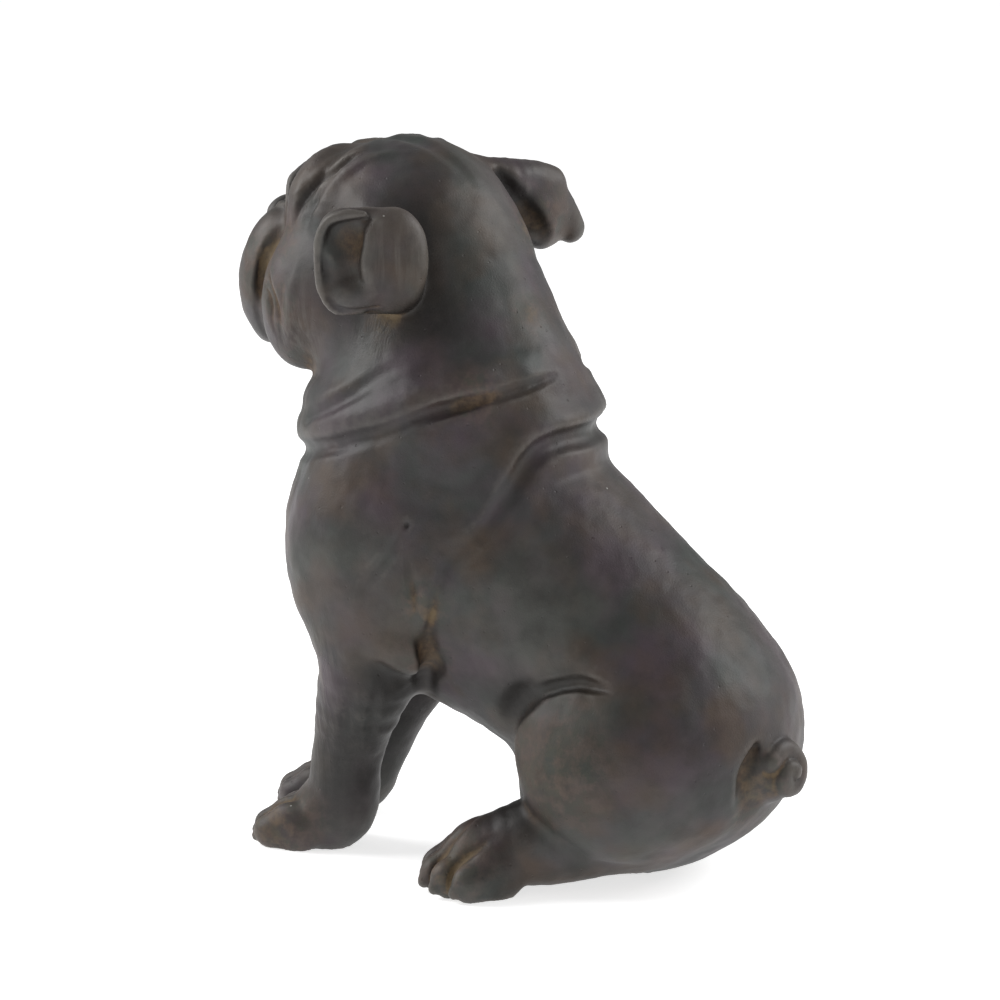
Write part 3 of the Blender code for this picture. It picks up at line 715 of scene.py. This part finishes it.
def hollowness(mesh, rounds):
    """How far a smoothed copy lies outside each corner: above 0 in a crease, below 0 on a ridge."""
    smooth = reworked(mesh, "SMOOTH", factor=0.5, iterations=rounds)
    return ((corners(smooth) - corners(mesh)) * corner_normals(mesh)).sum(1)


def stored(mesh, name, values):
    attribute = mesh.attributes.new(name, "FLOAT", "POINT")
    attribute.data.foreach_set("value", np.clip(values, 0, 1).astype(np.float32))


fine, broad = hollowness(mesh, FINE_ROUNDS) / FINE_DEPTH, hollowness(mesh, BROAD_ROUNDS) / BROAD_DEPTH
points = corners(mesh)
out = clay(points + corner_normals(mesh) * WIDE_STEP, lumps)
# The crease share places rust-brown dirt in the creases and also painted shade there.
stored(mesh, "crease", np.maximum(fine, broad))
stored(mesh, "worn", -np.minimum(fine, broad))
# The shade share is painted shade: darker colour in sheltered places, where shade falls.
stored(mesh, "shade", 1 - np.abs(out) / WIDE_STEP)
print("creases over", round(float((np.maximum(fine, broad) > 0.5).mean()) * 100), "% of the corners")

# %% [markdown]
# ## Writing nodes as sums
#
# Both the relief and the patina are trees of nodes. Clicked together they are hard to read, so one small
# class wraps a socket: adding, subtracting, multiplying or dividing two of them adds a Math node. Every
# other node comes from one method, which takes its type, its settings and what its sockets get.

# %% One class for a socket
class Wire:
    """A socket of a node tree that plain operators work on."""

    def __init__(self, tree, socket=None):
        self.tree = tree
        self.socket = socket

    def add(self, kind, settings=None, sockets=None, out=0):
        """Any node: its settings are set first, and its sockets get values or wires."""
        node = self.tree.nodes.new(kind)
        for name, value in (settings or {}).items():
            if name == "stops":
                self.fill_ramp(node.color_ramp, value)
            else:
                setattr(node, name, value)
        for name, value in (sockets or {}).items():
            if isinstance(value, Wire):
                self.tree.links.new(value.socket, node.inputs[name])
            else:
                node.inputs[name].default_value = value
        return Wire(self.tree, node.outputs[out])

    def fill_ramp(self, ramp, stops):
        while len(ramp.elements) < len(stops):
            ramp.elements.new(0)
        for element, (place, value) in zip(ramp.elements, stops):
            element.position = place
            element.color = (value, value, value, 1)

    def maths(self, operation, *values):
        return self.add("ShaderNodeMath", {"operation": operation}, dict(enumerate(values)))

    def vectors(self, operation, other, socket=1):
        return self.add("ShaderNodeVectorMath", {"operation": operation}, {0: self, socket: other})

    def __add__(self, other):
        return self.maths("ADD", self, other)

    def __sub__(self, other):
        return self.maths("SUBTRACT", self, other)

    def __mul__(self, other):
        return self.maths("MULTIPLY", self, other)

    def __rsub__(self, other):
        return self.maths("SUBTRACT", other, self)

    def __truediv__(self, other):
        return self.maths("DIVIDE", self, other)

    def __rtruediv__(self, other):
        return self.maths("DIVIDE", other, self)

    __radd__ = __add__
    __rmul__ = __mul__

    def ramp(self, *stops):
        """The value through a ramp of grey stops, each a place and a height."""
        return self.add("ShaderNodeValToRGB", {"stops": stops}, {0: self})


def noise(place, size, detail=3.0, rough=0.5):
    """A smooth noise whose blotches are about this many metres across."""
    sockets = {"Vector": place, "Scale": 1 / size, "Detail": detail, "Roughness": rough}
    return place.add("ShaderNodeTexNoise", None, sockets)

# %% [markdown]
# ## Hair strokes and the sculptor's hand
#
# Short hair was dragged into the clay with a comb: long, shallow, upright strokes, clearest on the
# forelegs, the cheeks and the ears. Everywhere else the surface is only uneven, as clay is under a palm.
# Both repeat over the whole surface, so Geometry Nodes make them: each corner moves along its normal by a
# noise that is stretched upwards for the strokes. The sizes are inputs of the tree, so the same tree fits
# another casting.

# %% The relief tree
STROKE_PLACES = "hair"
SOLE_FADE = 0.012


def relief_tree():
    tree = bpy.data.node_groups.new("hair strokes and hand", "GeometryNodeTree")
    sizes = {"Stroke depth": 0.0005, "Stroke width": 0.004, "Stroke length": 0.06, "Hand depth": 0.0032,
             "Hand size": 0.034, "Thumb depth": 0.001, "Thumb size": 0.011}
    new_socket = tree.interface.new_socket
    new_socket("Geometry", in_out="INPUT", socket_type="NodeSocketGeometry")
    for name, value in sizes.items():
        new_socket(name, in_out="INPUT", socket_type="NodeSocketFloat").default_value = value
    new_socket("Stone", in_out="INPUT", socket_type="NodeSocketMaterial")
    new_socket("Geometry", in_out="OUTPUT", socket_type="NodeSocketGeometry")
    entry = tree.nodes.new("NodeGroupInput")
    sizes = {socket.name: Wire(tree, socket) for socket in entry.outputs}
    start = Wire(tree)
    place = start.add("GeometryNodeInputPosition")
    upright = start.add("ShaderNodeCombineXYZ", None, {0: sizes["Stroke width"], 1: sizes["Stroke width"],
                                                       2: sizes["Stroke length"]})
    dragged = place.vectors("DIVIDE", upright)
    strokes = noise(dragged, 1, 2.0)
    hand = noise(place.vectors("SCALE", 1 / sizes["Hand size"], "Scale"), 1, 2.0)
    thumb = noise(place.vectors("SCALE", 1 / sizes["Thumb size"], "Scale"), 1, 1.0)
    hair = start.add("GeometryNodeInputNamedAttribute", {"data_type": "FLOAT"}, {"Name": STROKE_PLACES})
    height = start.add("ShaderNodeSeparateXYZ", None, {0: place}, out=2)
    rise = (strokes - 0.5) * sizes["Stroke depth"] * hair + (hand - 0.5) * sizes["Hand depth"]
    rise = rise + (thumb - 0.5) * sizes["Thumb depth"]
    rise = rise * start.maths("MINIMUM", height / SOLE_FADE, 1.0)
    normal = start.add("GeometryNodeInputNormal")
    offset = normal.vectors("SCALE", rise, "Scale")
    moved = start.add("GeometryNodeSetPosition", None, {"Geometry": sizes["Geometry"], "Offset": offset})
    real = start.add("GeometryNodeRealizeInstances", None, {0: moved})
    done = start.add("GeometryNodeSetMaterial", None, {"Geometry": real, "Material": sizes["Stone"]})
    leave = tree.nodes.new("NodeGroupOutput")
    tree.links.new(done.socket, leave.inputs[0])
    return tree

# %% [markdown]
# The strokes, and later the rust, are strong in some places and missing in others. A painter would use a
# weight brush. Here each place is a soft ball in the figure's units, and a corner takes the strongest of
# them.

# %% Soft places on the figure
HAIR_PLACES = {
    "both forelegs": ((0.12, -0.25, 0.2), 0.13),
    "above the left foreleg": ((0.14, -0.24, 0.3), 0.1),
    "left ear": ((0.15, -0.13, 0.85), 0.06),
    "below the left ear": ((0.14, -0.17, 0.735), 0.06),
    "flews": ((0.1, -0.32, 0.72), 0.08),
}
PLATEAU = 1.5  # the inner third of a place has the whole strength


def strength(points, places):
    """From 0 outside every place to 1 at the middle of the strongest. A place named both is mirrored."""
    best = np.zeros(len(points))
    for name, ((across, back, up), radius) in places.items():
        for side in (across, -across) if name.startswith("both") else (across,):
            centre = np.array((side, back, up)) * UNIT + np.array(shift)
            away = np.linalg.norm(points - centre, axis=1) / (radius * UNIT)
            best = np.maximum(best, np.clip(PLATEAU * (1 - away), 0, 1))
    return best


stored(mesh, STROKE_PLACES, strength(points, HAIR_PLACES))

# %% Press the relief into the skin
TRIANGLES = 190000

stone = bpy.data.materials.new("weathered_stone")
mesh = reworked(mesh, "NODES", {"Stone": stone}, node_group=relief_tree())
mesh = reworked(mesh, "TRIANGULATE")
mesh = reworked(mesh, "DECIMATE", ratio=min(1, TRIANGLES / len(mesh.polygons)))
print("the skin now has", len(mesh.polygons), "triangles")

# %% [markdown]
# ## Dirt, rust and painted shade
#
# The casting is a warm near-black stone. Rust-brown dirt has gathered where rain stays: in the neck crease,
# at the elbow, round the tail's root, under the ears and between the toes. The places are laid on the
# finished corners as attributes, so that the material can break them up with noise. A second list holds the
# brightest ochre, which also lies on open skin, and a third the painted shade: near-black laid behind the
# legs, behind the left ear and in the haunch's hollow, where shade falls.

# %% Places of rust, ochre and painted shade
RUST_PLACES = {
    "neck crease": ((0.145, -0.01, 0.66), 0.05),
    "elbow": ((0.187, -0.065, 0.385), 0.05),
    "below the elbow": ((0.165, -0.08, 0.31), 0.06),
    "far ear's root": ((-0.06, -0.036, 0.856), 0.05),
    "far ear's underside": ((-0.15, -0.04, 0.86), 0.06),
    "cheek crease": ((0.07, -0.33, 0.84), 0.05),
    "muzzle crease": ((0.04, -0.37, 0.8), 0.08),
    "flew": ((0.096, -0.33, 0.76), 0.05),
    "left front toes": ((0.13, -0.31, 0.04), 0.09),
    "right front toes": ((-0.1, -0.34, 0.04), 0.09),
    "both hind feet": ((0.24, 0, 0.05), 0.08),
    "tail": ((0.075, 0.37, 0.16), 0.06),
    "below the tail": ((0.08, 0.36, 0.12), 0.05),
    "under the left ear": ((0.14, -0.16, 0.75), 0.055),
    "hollow of the left ear": ((0.155, -0.17, 0.86), 0.05),
    "nape": ((0.03, 0.02, 0.76), 0.04),
    "both haunches": ((0.22, 0.13, 0.19), 0.12),
    "chin": ((0.06, -0.3, 0.68), 0.05),
}
OCHRE_PLACES = {
    "far ear's root": ((-0.06, -0.036, 0.856), 0.04),
    "elbow fold": ((0.192, -0.062, 0.375), 0.03),
    "muzzle crease": ((0.04, -0.37, 0.81), 0.05),
    "left front toes": ((0.125, -0.32, 0.03), 0.09),
    "right front toes": ((-0.1, -0.37, 0.03), 0.07),
    "both hind feet": ((0.245, 0.01, 0.03), 0.08),
    "tail's flank": ((0.07, 0.37, 0.15), 0.05),
    "nape": ((0.03, 0.02, 0.76), 0.03),
    "under the left ear": ((0.13, -0.15, 0.75), 0.04),
}
# Painted shade: near-black laid where shade falls, behind the legs and the left ear and in the haunch's
# hollow.
PAINTED_SHADE_PLACES = {
    "back of the left forearm": ((0.13, -0.17, 0.15), 0.13),
    "below the elbow": ((0.16, -0.13, 0.25), 0.09),
    "right foreleg": ((-0.06, -0.26, 0.15), 0.16),
    "behind the left ear": ((0.12, -0.08, 0.76), 0.05),
    "above the hind foot": ((0.2, 0.06, 0.11), 0.06),
    "hollow of the haunch": ((0.17, 0.06, 0.26), 0.05),
}
finished = corners(mesh)
for name, places in {"rust": RUST_PLACES, "ochre": OCHRE_PLACES, "grime": PAINTED_SHADE_PLACES}.items():
    stored(mesh, name, strength(finished, places))

# %% [markdown]
# ## The patina
#
# Coloured stone or stone-filled resin is never one grey. Under soft light it is patched with violet, green
# and brown greys the size of a thumb, streaked by rain, paler where it is rubbed, and rust-brown in its
# creases. Its creases and sheltered places are also painted darker, as painted shade. All of it is mixed
# from noise on Object coordinates, so it is solid through the piece and has no seams. The bump holds what
# is too
# fine for the mesh: the grain of the casting, hair strokes and a few pits.

# %% Colours
# STONE_DARK is the dark stone of the patches and also the colour of all painted shade.
STONE_DARK = (0.009, 0.0072, 0.0062, 1)
STONE_VIOLET = (0.047, 0.033, 0.04, 1)
STONE_GREEN = (0.03, 0.035, 0.031, 1)
STONE_BROWN = (0.054, 0.034, 0.021, 1)
STONE_WORN = (0.104, 0.093, 0.082, 1)
RUST_DARK = (0.04, 0.024, 0.014, 1)
RUST_LIGHT = (0.112, 0.071, 0.038, 1)
OCHRE = (0.125, 0.088, 0.044, 1)
LICHEN_ROSE = (0.082, 0.058, 0.048, 1)
LICHEN_GREEN = (0.04, 0.042, 0.03, 1)
SPECK = (0.35, 0.35, 0.33, 1)
STREAK = (0.003, 0.045)  # the width and length of a run of rain
SPECK_SPACING = 0.012

# %% Mottled stone
def between(share, one, other):
    """A colour that runs from one to the other with the share."""
    settings = {"data_type": "RGBA", "blend_type": "MIX"}
    return share.add("ShaderNodeMix", settings, {0: share, 6: one, 7: other}, out=2)


def strokes_across(place, size):
    """A noise of upright strokes, as wide and as tall as the size says, in metres."""
    wide, tall = size
    return noise(place.vectors("MULTIPLY", (1 / wide, 1 / wide, 1 / tall)), 1, 2.0)


def mottled(place):
    """Violet, green and brown greys in patches inside patches."""
    violet = noise(place, 0.05).ramp((0.38, 0), (0.62, 1))
    brown = noise(place.vectors("ADD", (3, 5, 7)), 0.038).ramp((0.45, 0), (0.68, 1))
    deep = noise(place, 0.026, 4.0, 0.6).ramp((0.36, 1), (0.58, 0))
    pale = noise(place.vectors("ADD", (7, 3, 1)), 0.07)
    colour = between(violet, STONE_GREEN, STONE_VIOLET)
    colour = between(brown * 0.8, colour, STONE_BROWN)
    colour = between(pale.ramp((0.48, 0), (0.72, 0.4)), colour, STONE_WORN)
    return between(deep * 0.42, colour, STONE_DARK)

# %% Dirt, wear and specks
def share_at(place, name):
    return place.add("ShaderNodeAttribute", {"attribute_name": name}, out=2)


def patina(place):
    """The whole colour, and the share of rust in it. The layers are laid from the first to the last."""
    names = ("crease", "worn", "shade", "rust", "ochre", "grime", STROKE_PLACES)
    crease, worn, shade, rust, ochre, grime, hair = (share_at(place, name) for name in names)
    broken = noise(place, 0.006, 4.0, 0.65)
    patch = noise(place, 0.011, 4.0, 0.62)
    dirt = (rust * (crease * 1.2 + 0.28) * (patch + 0.3)).ramp((0.15, 0), (0.55, 0.75))
    cells = {"Vector": place, "Scale": 1 / SPECK_SPACING}
    dot = place.add("ShaderNodeTexVoronoi", None, cells)
    rare = place.add("ShaderNodeTexVoronoi", None, cells, out=1)
    rare = place.add("ShaderNodeSeparateColor", None, {0: rare}).ramp((0.965, 0), (0.97, 1))
    layers = (
        (strokes_across(place, STREAK).ramp((0.45, 0), (0.7, 0.5)) * hair, STONE_WORN),
        ((worn * broken * 1.6).ramp((0.15, 0), (0.7, 0.7)), STONE_WORN),
        (rust.ramp((0, 0), (0.7, 0.6)) * broken.ramp((0.35, 0.3), (0.6, 1)),
         between(patch.ramp((0.44, 0), (0.56, 1)), LICHEN_GREEN, LICHEN_ROSE)),
        # Painted shade in three layers: at the listed sheltered places, where a wide step out of the
        # surface comes near another part, and in the creases.
        (grime * (1.25 - broken * 0.9), STONE_DARK),
        (shade.ramp((0.15, 0), (0.8, 0.85)), STONE_DARK),
        (crease.ramp((0.2, 0), (1.0, 0.7)), STONE_DARK),
        (dirt, between(broken.ramp((0.36, 0), (0.66, 1)), RUST_DARK, RUST_LIGHT)),
        ((ochre * (broken + patch) * (crease * 0.7 + 0.5)).ramp((0.4, 0), (0.8, 0.7)), OCHRE),
        (dot.ramp((0.03, 1), (0.06, 0)) * rare, SPECK),
    )
    colour = mottled(place)
    for share, layer in layers:
        colour = between(share, colour, layer)
    return colour, dirt

# %% Grain, strokes and pits
GRAIN_DEPTH, HAIR_DEPTH, PIT_DEPTH = 0.00014, 0.0003, 0.0002
GRAIN_SIZE, PIT_SPACING = 0.0012, 0.009
HAIR = (0.0016, 0.025)  # the width and length of a stroke
SMOOTHEST, ROUGH_RANGE, DIRT_ROUGH = 0.44, 0.16, 0.25
STONE_IOR = 1.42


def bumps(place):
    """The height of what is too fine for the mesh, in metres."""
    grain = noise(place, GRAIN_SIZE, 3.0, 0.6)
    stroke = strokes_across(place, HAIR)
    pit = place.add("ShaderNodeTexVoronoi", None, {"Vector": place, "Scale": 1 / PIT_SPACING})
    pits = pit.ramp((0.04, 1), (0.1, 0)) * PIT_DEPTH
    return (grain - 0.5) * GRAIN_DEPTH + stroke * share_at(place, STROKE_PLACES) * HAIR_DEPTH - pits


def weathered(material):
    material.use_nodes = True
    tree = material.node_tree
    place = Wire(tree).add("ShaderNodeTexCoord", out=3)
    colour, dirt = patina(place)
    shader = tree.nodes["Principled BSDF"]
    rough = noise(place, 0.03) * ROUGH_RANGE + SMOOTHEST + dirt * DIRT_ROUGH
    height = bumps(place)
    normal = place.add("ShaderNodeBump", None, {"Strength": 1.0, "Distance": 1.0, "Height": height})
    for name, wire in {"Base Color": colour, "Roughness": rough, "Normal": normal}.items():
        tree.links.new(wire.socket, shader.inputs[name])
    shader.inputs["IOR"].default_value = STONE_IOR


weathered(stone)
print("the patina has", len(stone.node_tree.nodes), "nodes")

# %% [markdown]
# ## The piece
#
# The finished skin stands in for the imported solid, which stays in the scene, hidden from view and render.
# The finished skin stands in for the imported solid, which stays in the simulation for collision. Its
# corners are kept inside the solid's box, so that a hair stroke does not push it out.

# %% One casting
put_corners(mesh, np.clip(corners(mesh), *np.array(cad_box)))
mesh.shade_smooth()
mesh.name = "bulldog_casting"
casting = linked("bulldog_casting", mesh)
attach(casting, "root")
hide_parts("bulldog")
print("the piece has", len(mesh.vertices), "corners")

# %% [markdown]
# ## Floor, light and camera
#
# The photograph is a plain studio shot: a white surround, two wide soft lights and a long lens from behind
# the puppy's left shoulder. A long lens keeps the near haunch from looking large. The floor runs so far
# back that it fills the view, so no horizon shows, and it glows a little, like the lit table of a product
# studio.

# %% Floor
FLOOR_SIZE = 30
FLOOR_WHITE = (0.82, 0.82, 0.82, 1)
WHITE = (1, 1, 1, 1)
FLOOR_GLOW = 0.68
FLOOR_ROUGHNESS = 0.9

floor_mesh = bpy.data.meshes.new("floor")
half = FLOOR_SIZE / 2
floor_corners = [(-half, -half, 0), (half, -half, 0), (half, half, 0), (-half, half, 0)]
floor_mesh.from_pydata(floor_corners, [], [(0, 1, 2, 3)])
floor = linked("floor", floor_mesh)
paper = bpy.data.materials.new("white_paper")
paper.use_nodes = True
looks = {"Base Color": FLOOR_WHITE, "Roughness": FLOOR_ROUGHNESS, "Emission Color": WHITE,
         "Emission Strength": FLOOR_GLOW}
for name, value in looks.items():
    paper.node_tree.nodes["Principled BSDF"].inputs[name].default_value = value
floor_mesh.materials.append(paper)

# %% Soft studio light
PHOTO_AZIMUTH = 114
PHOTO_RISE = 12
WORLD_STRENGTH = 0.42
BOX_TURN = 100  # each softbox stands this many degrees round from the camera


def towards(azimuth, rise):
    """The direction in which something lies, with azimuth 0 in front of the puppy and 90 at its left."""
    a, e = math.radians(azimuth), math.radians(rise)
    return Vector((math.sin(a) * math.cos(e), -math.cos(a) * math.cos(e), math.sin(e)))


def aimed(thing, target, back, away):
    """Puts a lamp or camera this far back from a point that it looks at."""
    thing.location = target + back * away
    thing.rotation_euler = back.to_track_quat("Z", "Y").to_euler()


def softbox(name, azimuth, rise, away, size, power):
    data = bpy.data.lights.new(name, "AREA")
    data.energy, data.size = power, size
    aimed(linked(name, data), Vector(), towards(azimuth, rise), away)


softbox("key", PHOTO_AZIMUTH - BOX_TURN, rise=38, away=2.2, size=1.2, power=33)
softbox("fill", PHOTO_AZIMUTH + BOX_TURN, rise=34, away=2.4, size=1.2, power=33)
world = bpy.data.worlds.new("studio")
world.use_nodes = True
sky = world.node_tree.nodes["Background"].inputs
sky["Color"].default_value = WHITE
sky["Strength"].default_value = WORLD_STRENGTH
bpy.context.scene.world = world
bpy.context.scene.view_settings.view_transform = "Standard"

# %% Camera
LENS = 150
CAMERA_AWAY = 2.478
LOOK_AT = Vector((-0.0333, -0.0275, 0.2024))

camera = linked("camera", bpy.data.cameras.new("camera"))
camera.data.lens = LENS
aimed(camera, LOOK_AT, towards(PHOTO_AZIMUTH, PHOTO_RISE), CAMERA_AWAY)
bpy.context.scene.camera = camera
